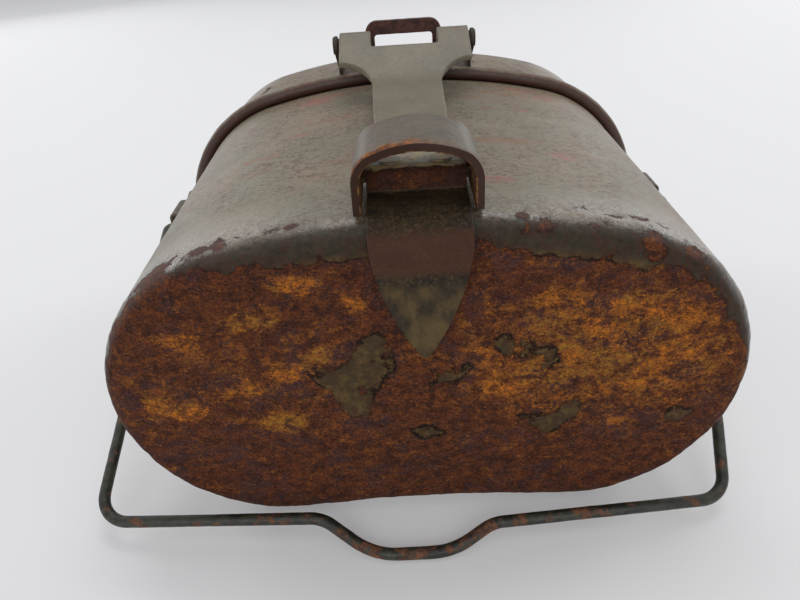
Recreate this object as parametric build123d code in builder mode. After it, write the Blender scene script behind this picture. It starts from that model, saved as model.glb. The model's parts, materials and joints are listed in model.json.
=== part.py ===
from build123d import *
import math
import os

# A kidney-shaped steel mess tin: a deep cooking pot, a lid that serves as a pan, a folding lid handle
# whose end hooks over the pot's base, and a wire bail that turns in two riveted ears.
#
# Frame, in millimetres: the origin is the centre of the base's outer face. +Y runs along the tin's axis
# from the base to the lid, +Z points out of the convex front, where the handle lies, and +X to the right.

# --- Driving dimensions ---------------------------------------------------------------------------
WIDTH = 175.0  # across the two lobes
DEPTH = 98.0  # from the hollow back to the convex front
LOBE_R = 46.4  # radius of the two end lobes
BACK_HOLLOW = 2.0  # how far the back dishes in
SHEET = 0.8  # sheet steel of the pot and the lid

POT_HEIGHT = 134.0  # base to the pot's open rim, which the lid hides
BASE_EDGE_R = 6.3  # rounded edge of the base
NECK_START = 121.0  # the wall steps in here, so that the lid sits nearly flush
NECK_END = 122.6
NECK_STEP = 0.6

LID_TOP = 172.0  # base to the lid's closed end
LID_EDGE_R = 7.0
LID_GAP = 0.3  # sliding gap between the neck and the lid's skirt
LID_RIM_Y = 123.5  # centre of the lid's rolled rim
RIM_R = 2.4  # outside of the rolled rim
RIM_WIRE_R = 1.5  # wire inside the roll
FIT_GAP = 0.04  # radial gap round wires, pins and rivets

BAIL_WIRE_R = 1.75
PIVOT_Y = 99.0  # bail pivots
PIVOT_Z = 4.0
BAIL_REST_DEG = 23.3  # the bail hangs this far below the -Y direction
BAIL_HALF = 96.6  # half width at the pivots
# Bends of the old wire, which has gone a little out of square: (x, distance from the pivots).
BAIL_LEFT_CORNER = (-99.4, 113.4)
BAIL_DIP = ((-32.5, 115.6), (-17.5, 126.7), (5.0, 126.7), (17.0, 119.4))  # the hand-hold
BAIL_RIGHT_CORNER = (84.6, 115.8)
BAIL_RIGHT_BOW = ((89.9, 92.0), (94.6, 50.0))
BAIL_END_BEND_R = 2.2
BAIL_CORNER_R = 9.0
BAIL_BOW_R = 60.0
BAIL_DIP_R = (12.0, 22.0, 22.0, 12.0)

HANDLE_SHEET = 1.8
HINGE_Y = 118.0
HINGE_Z = 63.8
HINGE_PIN_R = 2.46
KNUCKLE_R = HINGE_PIN_R + FIT_GAP  # inside of the curled knuckles
HINGE_EYE_R = 3.4  # outside of the bracket's eyes
PIN_HEAD_R = 2.9
PIN_HEAD_H = 0.35
PIN_SETBACK = 0.4  # how far the pins stop short of the gap between the knuckles
HEAD_HALF = 23.3  # half width of the T-shaped head
RECESS_HALF = 12.0  # gap between the two knuckles
NECK_HALF = 11.7  # at the flare; the strip narrows a little towards the keeper
NECK_LOW_HALF = 10.4
STRIP_TOP = 56.0  # height of the strip's face where the strap keeper sits
JOGGLE_Y = 13.0  # the strip steps down to the tongue here
TONGUE_TOP = 51.2
TONGUE_HALF = 12.1
TONGUE_FACE_Y = -4.2  # outer face of the hook in front of the base
TONGUE_TIP_Z = 13.2
LEAF_TOP_Z = 45.0  # the hook's sides are parallel above this height and curve in below it
LEAF_MID_Z = 27.5
LEAF_MID_HALF = 8.1
LEAF_TIP_Z = 14.2
LEAF_TIP_R = 1.5
FLARE_START = 90.0  # the neck flares to the head between these stations
FLARE_MID = 98.8
FLARE_END = 102.5
FLARE_SAG = 3.5
WIDEN_START = 45.0  # the neck widens to the tongue between these stations
WIDEN_END = 14.0
RECESS_Y = 110.0  # bottom of the gap between the knuckles

KEEPER_FRONT = 3.5
KEEPER_BACK = 25.5
KEEPER_HALF = 15.1
KEEPER_TOP = 66.0
KEEPER_SHEET = 1.9
KEEPER_CORNER_R = 7.5  # the arch's upper corners
KEEPER_CROWN_R = 26.0  # the arch's flatter top
KEEPER_SKIRT_Z = 49.6  # its sides run on below its floor, nearly to the wall

EAR_WIDTH = 13.0  # along the tin's axis
EAR_HALF = 15.0  # half height of the riveted feet
BRIDGE_HALF = 8.6
BRIDGE_SHEET = 1.2
BRIDGE_CORNER_R = 2.0
BRIDGE_STAND = 5.0  # height of the bridge over the wall

BRACKET_SHEET = 1.5
BRACKET_FRONT = 127.5
BRACKET_BACK = 151.0
BRACKET_HALF = 25.5
LUG_ROOT = 12.0  # length of the bracket's side lugs along the plate
LUG_SHOULDER_Z = 54.5  # the lugs reach forward over the rolled rim above this height
LOOP_TOP = 69.8
LOOP_HALF = 14.3
LOOP_SLOT_HALF = 10.9
LOOP_SLOT_TOP = 64.8
LOOP_SHEET = 2.0

RIVET_R = 1.5
RIVET_HEAD_R = 3.0
RIVET_HEAD_H = 1.3

# --- The kidney outline, worked out from the driving dimensions ------------------------------------
LOBE_X = WIDTH / 2 - LOBE_R
LOBE_Z = LOBE_R - DEPTH / 2
SPAN = DEPTH - LOBE_R
FRONT_R = (LOBE_X**2 + SPAN**2 - LOBE_R**2) / (2 * (SPAN - LOBE_R))
FRONT_Z = DEPTH / 2 - FRONT_R
FRONT_DEG = math.degrees(math.atan2(LOBE_Z - FRONT_Z, LOBE_X))
BACK_REACH = (LOBE_X**2 / BACK_HOLLOW + BACK_HOLLOW) / 2
BACK_R = BACK_REACH - LOBE_R
BACK_Z = BACK_HOLLOW - DEPTH / 2 - BACK_R
BACK_DEG = math.degrees(math.asin(LOBE_X / BACK_REACH))

KEEPER_BASE = STRIP_TOP - HANDLE_SHEET - KEEPER_SHEET  # the loop's floor lies under the strip
LID_INSIDE = LID_GAP - NECK_STEP
LID_OUTSIDE = LID_INSIDE + SHEET
RIM_GROW = LID_INSIDE + RIM_R


def across(y):
    """The plane square to the tin's axis at y, with local x along +X and local y along +Z."""
    return Plane.XZ.offset(-y)


def kidney_edges(grow=0.0):
    """The four tangent arcs of the cross-section, grown outwards by grow. Used inside a BuildLine."""
    left_start = 180 - FRONT_DEG
    lobe_sweep = 90 + FRONT_DEG + BACK_DEG
    CenterArc((0, FRONT_Z), FRONT_R + grow, FRONT_DEG, 180 - 2 * FRONT_DEG)
    CenterArc((-LOBE_X, LOBE_Z), LOBE_R + grow, left_start, lobe_sweep)
    CenterArc((0, BACK_Z), BACK_R - grow, 90 + BACK_DEG, -2 * BACK_DEG)
    CenterArc((LOBE_X, LOBE_Z), LOBE_R + grow, 270 - BACK_DEG, lobe_sweep)


def kidney(grow=0.0):
    """The cross-section as a face."""
    with BuildSketch() as section:
        with BuildLine():
            kidney_edges(grow)
        make_face()
    return section.sketch


def pot_form(grow):
    """The pot's outside when grow is 0, and the space inside it when grow is minus the sheet."""
    with BuildPart() as form:
        with BuildSketch(across(-grow)):
            add(kidney(grow))
        extrude(amount=-(NECK_START + grow))
        base_rim = form.faces().sort_by(Axis.Y)[0].edges()
        fillet(base_rim, BASE_EDGE_R + grow)
        with BuildSketch(across(NECK_START)):
            add(kidney(grow))
        with BuildSketch(across(NECK_END)):
            add(kidney(grow - NECK_STEP))
        loft()
        with BuildSketch(across(NECK_END)):
            add(kidney(grow - NECK_STEP))
        extrude(amount=-(POT_HEIGHT - NECK_END))
    return form.part


def lid_form(grow, top):
    """A flat-ended drawn cup from the lid's rim plane up to top, with its outline grown by grow."""
    with BuildPart() as form:
        with BuildSketch(across(LID_RIM_Y)):
            add(kidney(grow))
        extrude(amount=-(top - LID_RIM_Y))
        end_rim = form.faces().sort_by(Axis.Y)[-1].edges()
        fillet(end_rim, LID_EDGE_R - (LID_TOP - top))
    return form.part


def ring(grow, radius):
    """A round bar of the given radius that follows the lid's rim."""
    with BuildPart() as bar:
        with BuildLine(across(LID_RIM_Y)) as path:
            kidney_edges(grow)
        start = path.wires()[0]
        with BuildSketch(Plane(origin=start @ 0, z_dir=start % 0)):
            Circle(radius)
        sweep(path=start, transition=Transition.ROUND)
    return bar.part


def rivet(seat, grip, inside_gap, head_h):
    """A rivet whose domed head sits on the plane seat and whose shank goes down through grip."""
    tail_r = RIVET_HEAD_R * 0.85
    tail_h = head_h * 0.6
    with BuildPart() as one:
        with BuildSketch(seat):
            Circle(RIVET_HEAD_R)
        extrude(amount=head_h)
        top = one.faces().filter_by(GeomType.PLANE).sort_by_distance(seat.origin)[-1]
        fillet(top.edges(), head_h * 0.85)
        with BuildSketch(seat):
            Circle(RIVET_R)
        extrude(amount=-(grip + inside_gap + tail_h))
        with BuildSketch(seat.offset(-(grip + inside_gap))):
            Circle(tail_r)
        extrude(amount=-tail_h)
    return one.part


def drilling(seat, depth):
    """A clearance hole for a rivet, from just outside the plane seat down to depth."""
    with BuildPart() as hole:
        with BuildSketch(seat.offset(1)):
            Circle(RIVET_R + FIT_GAP)
        extrude(amount=-(depth + 1))
    return hole.part


# Rivet seats: planes whose normals point out of the metal.
EAR_PIVOT_DEG = math.degrees(math.asin((PIVOT_Z - LOBE_Z) / LOBE_R))
EAR_RIVET_SPREAD = 14.6
EAR_RIVET_HEAD_H = 0.8


def ear_rivet_seats(side):
    """Two planes on the outside of one ear's feet, square to the lobe. side is -1 left, 1 right."""
    seats = []
    for spread in (-EAR_RIVET_SPREAD, EAR_RIVET_SPREAD):
        turn = math.radians(EAR_PIVOT_DEG + spread)
        out = Vector(side * math.cos(turn), 0, math.sin(turn))
        foot = Vector(side * LOBE_X, PIVOT_Y, LOBE_Z) + out * (LOBE_R + BRIDGE_SHEET)
        seats.append(Plane(origin=foot, z_dir=out))
    return seats


BRACKET_RIVET_X = 16.0
BRACKET_RIVET_YS = (138.0, 146.5)


def bracket_rivet_seats():
    """Four planes on the outside of the lid's hinge bracket, square to the front wall."""
    seats = []
    for x in (-BRACKET_RIVET_X, BRACKET_RIVET_X):
        turn = math.asin(x / FRONT_R)
        out = Vector(math.sin(turn), 0, math.cos(turn))
        face = FRONT_R + LID_OUTSIDE + BRACKET_SHEET
        for y in BRACKET_RIVET_YS:
            seats.append(Plane(origin=Vector(0, y, FRONT_Z) + out * face, z_dir=out))
    return seats


KEEPER_RIVET_X = 6.0
KEEPER_RIVET_Y = 20.5
KEEPER_RIVET_HEAD_H = 0.5  # hammered nearly flat, so that the strap slides over them


def keeper_rivet_seats():
    """Two planes on the strip's outer face, under the strap keeper's arch."""
    return [
        Plane(origin=(x, KEEPER_RIVET_Y, STRIP_TOP), z_dir=(0, 0, 1))
        for x in (-KEEPER_RIVET_X, KEEPER_RIVET_X)
    ]


def keeper_profile(inset):
    """One outline of the strap keeper's closed loop: a flat floor, upright sides and a three-centred arch."""
    half = KEEPER_HALF - inset
    corner_x = KEEPER_HALF - KEEPER_CORNER_R
    crown_z = KEEPER_TOP - KEEPER_CROWN_R
    reach = KEEPER_CROWN_R - KEEPER_CORNER_R
    spring_z = crown_z + math.sqrt(reach**2 - corner_x**2)
    corner_deg = math.degrees(math.acos(corner_x / reach))
    corner_r = KEEPER_CORNER_R - inset
    Polyline(
        (-half, spring_z), (-half, KEEPER_BASE + inset), (half, KEEPER_BASE + inset), (half, spring_z)
    )
    CenterArc((corner_x, spring_z), corner_r, 0, corner_deg)
    CenterArc((0, crown_z), KEEPER_CROWN_R - inset, corner_deg, 180 - 2 * corner_deg)
    CenterArc((-corner_x, spring_z), corner_r, 180 - corner_deg, corner_deg)


# --- Pot -------------------------------------------------------------------------------------------
with BuildPart() as pot_shell:
    add(pot_form(0))
    add(pot_form(-SHEET), mode=Mode.SUBTRACT)
    for side in (-1, 1):
        for seat in ear_rivet_seats(side):
            add(drilling(seat, BRIDGE_SHEET + 4), mode=Mode.SUBTRACT)
pot_shell.part.label = "pot_shell"


def bail_ear(side):
    """A pressed strip: two curved feet riveted to the lobe and a flat bridge that the bail hooks into."""
    bridge_x = WIDTH / 2 + BRIDGE_STAND
    reach = 12.0
    with BuildPart() as ear:
        with BuildSketch(across(PIVOT_Y - EAR_WIDTH / 2)):
            add(kidney(BRIDGE_SHEET))
            with Locations((side * WIDTH / 2, PIVOT_Z)):
                Rectangle(2 * reach, 2 * EAR_HALF + 4, mode=Mode.INTERSECT)
            with Locations((side * (bridge_x - reach / 2), PIVOT_Z)):
                Rectangle(reach, 2 * BRIDGE_HALF)
            with Locations((side * (bridge_x - BRIDGE_SHEET - reach / 2), PIVOT_Z)):
                Rectangle(reach, 2 * (BRIDGE_HALF - BRIDGE_SHEET), mode=Mode.SUBTRACT)
            add(kidney(), mode=Mode.SUBTRACT)
        extrude(amount=-EAR_WIDTH)
        outer = ear.edges().filter_by(Axis.Y).group_by(SortBy.LENGTH)[-1]
        corners = [e for e in outer if abs(abs(e.center().X) - bridge_x) < 0.01]
        fillet(corners, BRIDGE_CORNER_R)
        # The feet have rounded ends, cut from a slightly longer blank.
        with BuildSketch(Plane.YZ.offset(side * (WIDTH / 2 - reach))):
            with Locations((PIVOT_Y, PIVOT_Z)):
                RectangleRounded(EAR_WIDTH, 2 * EAR_HALF, EAR_WIDTH * 0.4)
        extrude(amount=side * 2 * reach, mode=Mode.INTERSECT)
        with BuildSketch(Plane.YZ.offset(side * (bridge_x - 2 * BRIDGE_SHEET))):
            with Locations((PIVOT_Y, PIVOT_Z)):
                Circle(BAIL_WIRE_R + FIT_GAP)
        extrude(amount=side * 4 * BRIDGE_SHEET, mode=Mode.SUBTRACT)
        for seat in ear_rivet_seats(side):
            add(drilling(seat, BRIDGE_SHEET + 4), mode=Mode.SUBTRACT)
    return ear.part


with BuildPart() as bail_ear_left:
    add(bail_ear(-1))
bail_ear_left.part.label = "bail_ear_left"

with BuildPart() as bail_ear_right:
    add(bail_ear(1))
bail_ear_right.part.label = "bail_ear_right"

with BuildPart() as bail_ear_rivets_left:
    for seat in ear_rivet_seats(-1):
        add(rivet(seat, BRIDGE_SHEET + SHEET, 0.12, EAR_RIVET_HEAD_H))
bail_ear_rivets_left.part.label = "bail_ear_rivets_left"

with BuildPart() as bail_ear_rivets_right:
    for seat in ear_rivet_seats(1):
        add(rivet(seat, BRIDGE_SHEET + SHEET, 0.12, EAR_RIVET_HEAD_H))
bail_ear_rivets_right.part.label = "bail_ear_rivets_right"

# --- Bail ------------------------------------------------------------------------------------------
bail_turn = math.radians(BAIL_REST_DEG)
bail_along = Vector(0, -math.cos(bail_turn), -math.sin(bail_turn))
bail_plane = Plane(
    origin=(0, PIVOT_Y, PIVOT_Z),
    x_dir=(1, 0, 0),
    z_dir=Vector(1, 0, 0).cross(bail_along),
)
BAIL_END_X = WIDTH / 2 + BRIDGE_STAND - BRIDGE_SHEET - 1.6  # where each hooked end stops
BAIL_HEAD_R = 2.7  # the end is upset into a small head behind the bridge
BAIL_HEAD_H = 0.9

with BuildPart() as bail_wire:
    with BuildLine(bail_plane) as bail_path:
        FilletPolyline(
            (-BAIL_END_X, 0),
            (-BAIL_HALF, 0),
            BAIL_LEFT_CORNER,
            *BAIL_DIP,
            BAIL_RIGHT_CORNER,
            *BAIL_RIGHT_BOW,
            (BAIL_HALF, 0),
            (BAIL_END_X, 0),
            radius=[
                BAIL_END_BEND_R,
                BAIL_CORNER_R,
                *BAIL_DIP_R,
                BAIL_CORNER_R,
                BAIL_BOW_R,
                BAIL_BOW_R,
                BAIL_END_BEND_R,
            ],
        )
    bail_run = bail_path.wires()[0]
    with BuildSketch(Plane(origin=bail_run @ 0, z_dir=bail_run % 0)):
        Circle(BAIL_WIRE_R)
    sweep(path=bail_run)
    for side in (-1, 1):
        with BuildSketch(Plane.YZ.offset(side * BAIL_END_X)):
            with Locations((PIVOT_Y, PIVOT_Z)):
                Circle(BAIL_HEAD_R)
        extrude(amount=side * BAIL_HEAD_H)
bail_wire.part.label = "bail_wire"

# --- Lid -------------------------------------------------------------------------------------------
with BuildPart() as lid_shell:
    add(lid_form(LID_OUTSIDE, LID_TOP))
    add(ring(RIM_GROW, RIM_R))
    add(lid_form(LID_INSIDE, LID_TOP - SHEET), mode=Mode.SUBTRACT)
    add(ring(RIM_GROW, RIM_WIRE_R + FIT_GAP), mode=Mode.SUBTRACT)
    for seat in bracket_rivet_seats():
        add(drilling(seat, BRACKET_SHEET + 4), mode=Mode.SUBTRACT)
lid_shell.part.label = "lid_shell"

with BuildPart() as lid_rim_wire:
    add(ring(RIM_GROW, RIM_WIRE_R))
lid_rim_wire.part.label = "lid_rim_wire"

with BuildPart() as lid_hinge_bracket:
    with BuildSketch(across(BRACKET_FRONT)):
        add(kidney(LID_OUTSIDE + BRACKET_SHEET))
        with Locations((0, DEPTH / 2)):
            Rectangle(2 * BRACKET_HALF, 20, mode=Mode.INTERSECT)
        add(kidney(LID_OUTSIDE), mode=Mode.SUBTRACT)
    extrude(amount=-(BRACKET_BACK - BRACKET_FRONT))
    for side in (-1, 1):
        with BuildSketch(Plane.YZ.offset(side * BRACKET_HALF)):
            with Locations((HINGE_Y, HINGE_Z)):
                Circle(HINGE_EYE_R)
            with Locations((BRACKET_FRONT + LUG_ROOT / 2, LUG_SHOULDER_Z)):
                Rectangle(LUG_ROOT, 2)
            make_hull()
            lug_foot = DEPTH / 2 - 4
            with Locations((BRACKET_FRONT + LUG_ROOT / 2, (LUG_SHOULDER_Z + lug_foot) / 2)):
                Rectangle(LUG_ROOT, LUG_SHOULDER_Z - lug_foot)
        extrude(amount=-side * BRACKET_SHEET)
    with BuildSketch(across(BRACKET_FRONT)):
        with Locations((0, LOOP_TOP - 15)):
            RectangleRounded(2 * LOOP_HALF, 30, 4.5)
        with Locations((0, LOOP_SLOT_TOP - 7)):
            RectangleRounded(2 * LOOP_SLOT_HALF, 14, 1.0, mode=Mode.SUBTRACT)
    extrude(amount=-LOOP_SHEET)
    with BuildSketch(across(BRACKET_FRONT - 10)):
        add(kidney(LID_OUTSIDE))
    extrude(amount=-40, mode=Mode.SUBTRACT)
    with BuildSketch(Plane.YZ.offset(-BRACKET_HALF - 1)):
        with Locations((HINGE_Y, HINGE_Z)):
            Circle(HINGE_PIN_R + FIT_GAP)
    extrude(amount=2 * BRACKET_HALF + 2, mode=Mode.SUBTRACT)
    for seat in bracket_rivet_seats():
        add(drilling(seat, BRACKET_SHEET + 4), mode=Mode.SUBTRACT)
lid_hinge_bracket.part.label = "lid_hinge_bracket"

with BuildPart() as lid_hinge_rivets:
    for seat in bracket_rivet_seats():
        add(rivet(seat, BRACKET_SHEET + SHEET, 0.04, RIVET_HEAD_H))
lid_hinge_rivets.part.label = "lid_hinge_rivets"

# --- Handle ----------------------------------------------------------------------------------------
# Side view: the sheet curls over the hinge, drops to the strip, runs along the wall, steps down to the
# tongue and hooks over the rounded edge of the base.
curl_r = KNUCKLE_R + HANDLE_SHEET / 2
LEAVE_DEG = 115.0  # where the sheet leaves the curl
CURL_END_DEG = -165.0
leave = math.radians(LEAVE_DEG)
leave_point = (HINGE_Y + curl_r * math.cos(leave), HINGE_Z + curl_r * math.sin(leave))
strip_z = STRIP_TOP - HANDLE_SHEET / 2
tongue_z = TONGUE_TOP - HANDLE_SHEET / 2
drop = leave_point[1] - (strip_z + 1.0)
foot_y = leave_point[0] - drop / math.tan(math.radians(LEAVE_DEG - 90))
tongue_y = TONGUE_FACE_Y + HANDLE_SHEET / 2
HEAD_BEND_R = 22.0
STRIP_BEND_R = 150.0
JOGGLE_R = 1.4
HOOK_BEND_R = 9.0

with BuildPart() as handle_strip:
    with BuildSketch(Plane.YZ):
        with BuildLine():
            CenterArc((HINGE_Y, HINGE_Z), curl_r, CURL_END_DEG, LEAVE_DEG - CURL_END_DEG)
        trace(line_width=HANDLE_SHEET)
        with BuildLine():
            FilletPolyline(
                leave_point,
                (foot_y, strip_z + 1.0),
                (WIDEN_START, strip_z),
                (JOGGLE_Y + 2.0, strip_z),
                (JOGGLE_Y, tongue_z),
                (tongue_y, tongue_z),
                (tongue_y, TONGUE_TIP_Z),
                radius=[HEAD_BEND_R, STRIP_BEND_R, JOGGLE_R, JOGGLE_R, HOOK_BEND_R],
            )
        trace(line_width=HANDLE_SHEET)
    extrude(amount=HEAD_HALF, both=True)
    # Plan of the head, neck and tongue, seen from the front.
    with BuildSketch(Plane.XY):
        with BuildLine():
            for side in (-1, 1):
                ThreePointArc(
                    (side * NECK_HALF, FLARE_START),
                    (side * (NECK_HALF + FLARE_SAG), FLARE_MID),
                    (side * HEAD_HALF, FLARE_END),
                )
                Polyline(
                    (side * HEAD_HALF, FLARE_END),
                    (side * HEAD_HALF, HINGE_Y + 10),
                    (0, HINGE_Y + 10),
                )
                Polyline(
                    (side * NECK_HALF, FLARE_START),
                    (side * NECK_LOW_HALF, WIDEN_START),
                    (side * TONGUE_HALF, WIDEN_END),
                    (side * TONGUE_HALF, TONGUE_FACE_Y - 4),
                    (0, TONGUE_FACE_Y - 4),
                )
        make_face()
        with Locations((0, RECESS_Y + 10)):
            Rectangle(2 * RECESS_HALF, 20, mode=Mode.SUBTRACT)
    extrude(amount=HINGE_Z + 20, mode=Mode.INTERSECT)
    # The hook in front of the base narrows to a leaf-shaped point.
    with BuildSketch(across(TONGUE_FACE_Y - 4)):
        with Locations((0, LEAF_TOP_Z / 2)):
            Rectangle(2 * HEAD_HALF, LEAF_TOP_Z)
        with BuildLine():
            Line((TONGUE_HALF, LEAF_TOP_Z), (-TONGUE_HALF, LEAF_TOP_Z))
            ThreePointArc(
                (-TONGUE_HALF, LEAF_TOP_Z), (-LEAF_MID_HALF, LEAF_MID_Z), (-LEAF_TIP_R, LEAF_TIP_Z)
            )
            ThreePointArc((-LEAF_TIP_R, LEAF_TIP_Z), (0, TONGUE_TIP_Z), (LEAF_TIP_R, LEAF_TIP_Z))
            ThreePointArc(
                (LEAF_TIP_R, LEAF_TIP_Z), (LEAF_MID_HALF, LEAF_MID_Z), (TONGUE_HALF, LEAF_TOP_Z)
            )
        make_face(mode=Mode.SUBTRACT)
    extrude(amount=-8, mode=Mode.SUBTRACT)
    for seat in keeper_rivet_seats():
        add(drilling(seat, 8), mode=Mode.SUBTRACT)
handle_strip.part.label = "handle_strip"

with BuildPart() as strap_keeper:
    with BuildSketch(across(KEEPER_FRONT)):
        with BuildLine():
            keeper_profile(0)
        make_face()
        with BuildLine():
            keeper_profile(KEEPER_SHEET)
        make_face(mode=Mode.SUBTRACT)
    extrude(amount=-(KEEPER_BACK - KEEPER_FRONT))
    for side in (-1, 1):
        with BuildSketch(across(KEEPER_FRONT)):
            with Locations((side * (KEEPER_HALF - KEEPER_SHEET / 2), (KEEPER_SKIRT_Z + STRIP_TOP) / 2)):
                Rectangle(KEEPER_SHEET, STRIP_TOP - KEEPER_SKIRT_Z)
        extrude(amount=-(KEEPER_BACK - KEEPER_FRONT))
    # The floor of the loop is cut away in front of the strip's step, where the tongue passes.
    with BuildSketch(across(KEEPER_FRONT)):
        with Locations((0, KEEPER_BASE)):
            Rectangle(2 * (KEEPER_HALF - KEEPER_SHEET), 2 * KEEPER_SHEET)
    extrude(amount=-(JOGGLE_Y + 3.0 - KEEPER_FRONT), mode=Mode.SUBTRACT)
    for seat in keeper_rivet_seats():
        add(drilling(seat, 8), mode=Mode.SUBTRACT)
strap_keeper.part.label = "strap_keeper"

with BuildPart() as strap_keeper_rivets:
    for seat in keeper_rivet_seats():
        add(rivet(seat, HANDLE_SHEET + KEEPER_SHEET, 0, KEEPER_RIVET_HEAD_H))
strap_keeper_rivets.part.label = "strap_keeper_rivets"

# Two short pins, so that the strap can pass between the knuckles. Each is riveted over outside its ear.
with BuildPart() as hinge_pins:
    for side in (-1, 1):
        with BuildSketch(Plane.YZ.offset(side * (RECESS_HALF + PIN_SETBACK))):
            with Locations((HINGE_Y, HINGE_Z)):
                Circle(HINGE_PIN_R)
        extrude(amount=side * (BRACKET_HALF - RECESS_HALF - PIN_SETBACK))
        with BuildSketch(Plane.YZ.offset(side * BRACKET_HALF)):
            with Locations((HINGE_Y, HINGE_Z)):
                Circle(PIN_HEAD_R)
        extrude(amount=side * PIN_HEAD_H)
hinge_pins.part.label = "hinge_pins"

# --- Write every piece -----------------------------------------------------------------------------
pieces = (
    pot_shell,
    bail_ear_left,
    bail_ear_right,
    bail_ear_rivets_left,
    bail_ear_rivets_right,
    bail_wire,
    lid_shell,
    lid_rim_wire,
    lid_hinge_bracket,
    lid_hinge_rivets,
    hinge_pins,
    handle_strip,
    strap_keeper,
    strap_keeper_rivets,
)
os.makedirs("parts", exist_ok=True)
for piece in pieces:
    export_step(piece.part, f"parts/{piece.part.label}.step")
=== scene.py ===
import json
import math

import bpy
import numpy as np
from mathutils import Matrix, Vector

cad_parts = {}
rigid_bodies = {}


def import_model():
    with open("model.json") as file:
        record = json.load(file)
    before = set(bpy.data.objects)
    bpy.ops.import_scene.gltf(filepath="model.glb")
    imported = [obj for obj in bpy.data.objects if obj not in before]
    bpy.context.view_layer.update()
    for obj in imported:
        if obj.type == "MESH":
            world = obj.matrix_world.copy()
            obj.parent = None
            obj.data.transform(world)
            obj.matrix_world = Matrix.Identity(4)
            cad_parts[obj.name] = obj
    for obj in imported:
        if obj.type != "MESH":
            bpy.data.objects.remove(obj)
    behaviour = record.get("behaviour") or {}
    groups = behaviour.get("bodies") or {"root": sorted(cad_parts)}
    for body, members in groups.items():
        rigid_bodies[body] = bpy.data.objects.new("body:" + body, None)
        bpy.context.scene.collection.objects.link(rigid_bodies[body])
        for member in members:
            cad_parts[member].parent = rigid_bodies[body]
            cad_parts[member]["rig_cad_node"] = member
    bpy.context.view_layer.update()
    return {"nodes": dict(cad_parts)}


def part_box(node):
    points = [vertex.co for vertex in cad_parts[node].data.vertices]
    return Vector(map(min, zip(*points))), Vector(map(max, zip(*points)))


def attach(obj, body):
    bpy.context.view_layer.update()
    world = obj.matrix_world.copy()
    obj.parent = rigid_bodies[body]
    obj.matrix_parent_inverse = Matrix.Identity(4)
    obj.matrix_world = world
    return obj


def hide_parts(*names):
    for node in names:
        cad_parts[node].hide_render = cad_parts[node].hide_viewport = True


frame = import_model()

# The looks of a kidney-shaped mess tin: old grey-green paint on the walls, a rusted base with flakes of
# paint left on it, a rusty rolled rim and a dark wire bail. Coordinates are the frame's: +Y from the base
# to the lid, +Z out of the front. Helpers work in millimetres; Blender's own units are metres.

MM = 0.001


def box_mm(node):
    """Lowest and highest corner of a CAD node, in millimetres."""
    low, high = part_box(node)
    return np.array(low) / MM, np.array(high) / MM


pot_low, pot_high = box_mm("pot_shell")
lid_low, lid_high = box_mm("lid_shell")
keeper_low, keeper_high = box_mm("strap_keeper")

WIDTH = pot_high[0] - pot_low[0]
DEPTH = pot_high[2] - pot_low[2]
POT_TOP = pot_high[1]
LID_TOP = lid_high[1]

# The kidney outline: two end lobes, a bowed front and a slightly hollow back.
LOBE_R = 46.4
BACK_HOLLOW = 2.0
SHEET = 0.8
BASE_EDGE_R = 6.3
LID_EDGE_R = 7.0
LID_GROW = 0.5
# The pot steps in a little, under the lid.
NECK_START = 121.0
NECK_END = 122.6
NECK_STEP = 0.6
# The lid's rolled rim.
RIM_R = 2.4
RIM_Y = lid_low[1] + RIM_R
RIM_GROW = LID_GROW - SHEET + RIM_R
# The bail's pivot.
PIVOT_Y = 99.0
PIVOT_Z = 4.0

lobe_x = WIDTH / 2 - LOBE_R
lobe_z = LOBE_R - DEPTH / 2
span = DEPTH - LOBE_R
front_r = (lobe_x**2 + span**2 - LOBE_R**2) / (2 * (span - LOBE_R))
front_z = DEPTH / 2 - front_r
front_turn = math.atan2(lobe_z - front_z, lobe_x)
back_reach = (lobe_x**2 / BACK_HOLLOW + BACK_HOLLOW) / 2
back_r = back_reach - LOBE_R
back_z = BACK_HOLLOW - DEPTH / 2 - back_r
back_turn = math.asin(lobe_x / back_reach)


# --- Noise -----------------------------------------------------------------------------------------


def lattice(ix, iy, iz, seed):
    """A repeatable random number from -1 to 1 for each whole-number grid point."""
    n = ix * 73856093 ^ iy * 19349663 ^ iz * 83492791 ^ seed * 2654435761
    n = (n ^ (n >> 13)) * 1274126177 & 0x7FFFFFFF
    n = (n ^ (n >> 16)) & 0xFFFFFF
    return n / 0x7FFFFF - 1.0


def value_noise(points, seed):
    """Smooth noise with cells of size one, from -1 to 1."""
    cell = np.floor(points).astype(np.int64)
    part = points - cell
    ease = part * part * (3 - 2 * part)
    total = np.zeros(len(points))
    for corner in range(8):
        step = np.array([corner & 1, corner >> 1 & 1, corner >> 2 & 1])
        weight = np.prod(np.where(step, ease, 1 - ease), axis=1)
        ix, iy, iz = (cell + step).T
        total += weight * lattice(ix, iy, iz, seed)
    return total


def fractal(points, size, octaves, seed):
    """Several octaves of noise, about -1 to 1, whose largest features are size millimetres."""
    total = np.zeros(len(points))
    strength = 1.0
    for octave in range(octaves):
        total += strength * value_noise(points / size * 2**octave + 17.3 * octave, seed + octave)
        strength *= 0.5
    return total / 1.5


def smooth(low, high, value):
    """0 at low, 1 at high, eased between."""
    t = np.clip((value - low) / (high - low), 0, 1)
    return t * t * (3 - 2 * t)


# --- Mesh helpers ----------------------------------------------------------------------------------


def make_object(name, points_mm, faces, body):
    """A smooth-shaded mesh object from millimetre points, riding on a body."""
    mesh = bpy.data.meshes.new(name)
    mesh.from_pydata((points_mm * MM).tolist(), [], faces)
    mesh.update()
    mesh.polygons.foreach_set("use_smooth", np.ones(len(mesh.polygons), bool))
    obj = bpy.data.objects.new(name, mesh)
    bpy.context.scene.collection.objects.link(obj)
    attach(obj, body)
    return obj


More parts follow.
